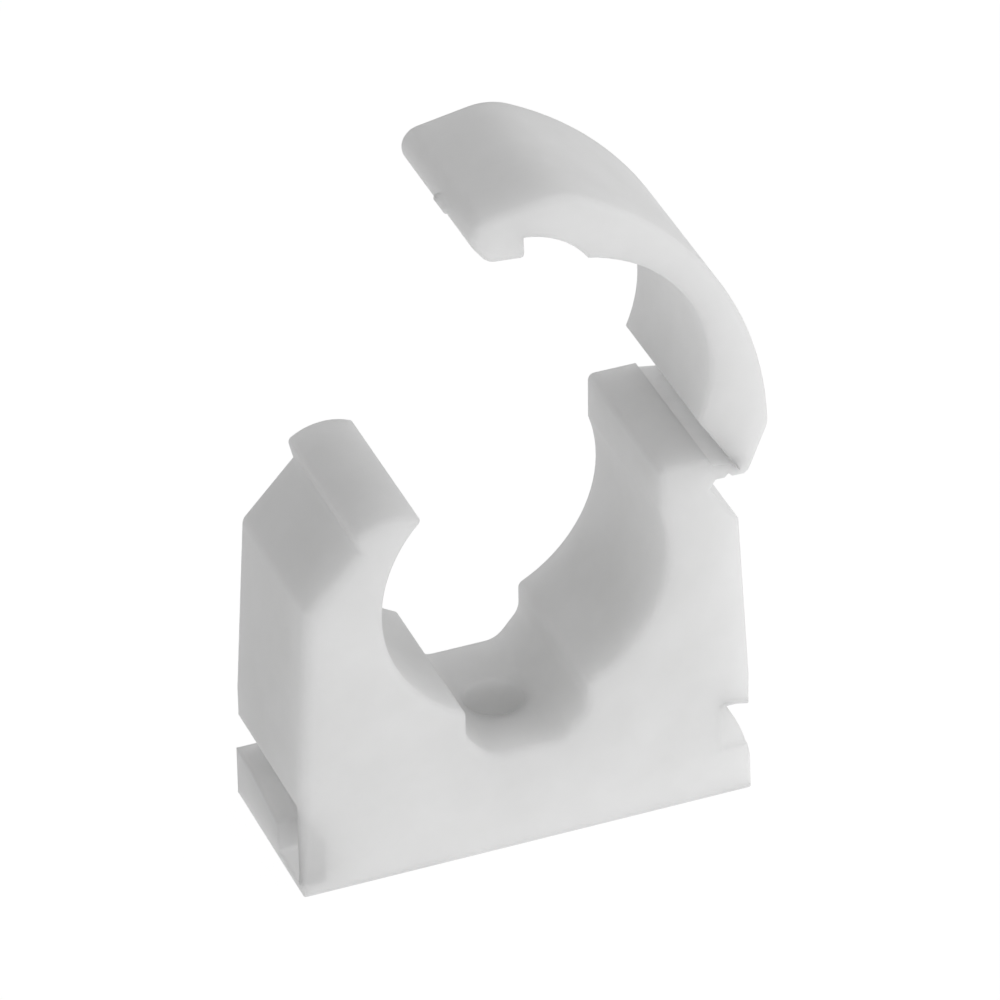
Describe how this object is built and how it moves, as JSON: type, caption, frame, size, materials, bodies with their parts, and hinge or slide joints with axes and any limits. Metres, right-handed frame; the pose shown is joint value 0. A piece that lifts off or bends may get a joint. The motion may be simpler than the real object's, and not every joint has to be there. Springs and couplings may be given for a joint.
{
  "type": "hinged pipe clip",
  "caption": "One-piece white plastic pipe clip: a block with a round seat and nail hole, and a strap on a folding web that snaps over a nose.",
  "frame": {"origin": "where the axis of the nail hole meets the wall plane", "axes": "+Z away from the wall along the nail hole, Y along the pipe, the strap hinges on the +X side"},
  "size_m": [0.0366, 0.014, 0.0553],
  "materials": {
    "white_nylon": "satin, slightly translucent"
  },
  "bodies": {
    "root": {"pipe_clip": "white_nylon"}
  },
  "joints": []
}
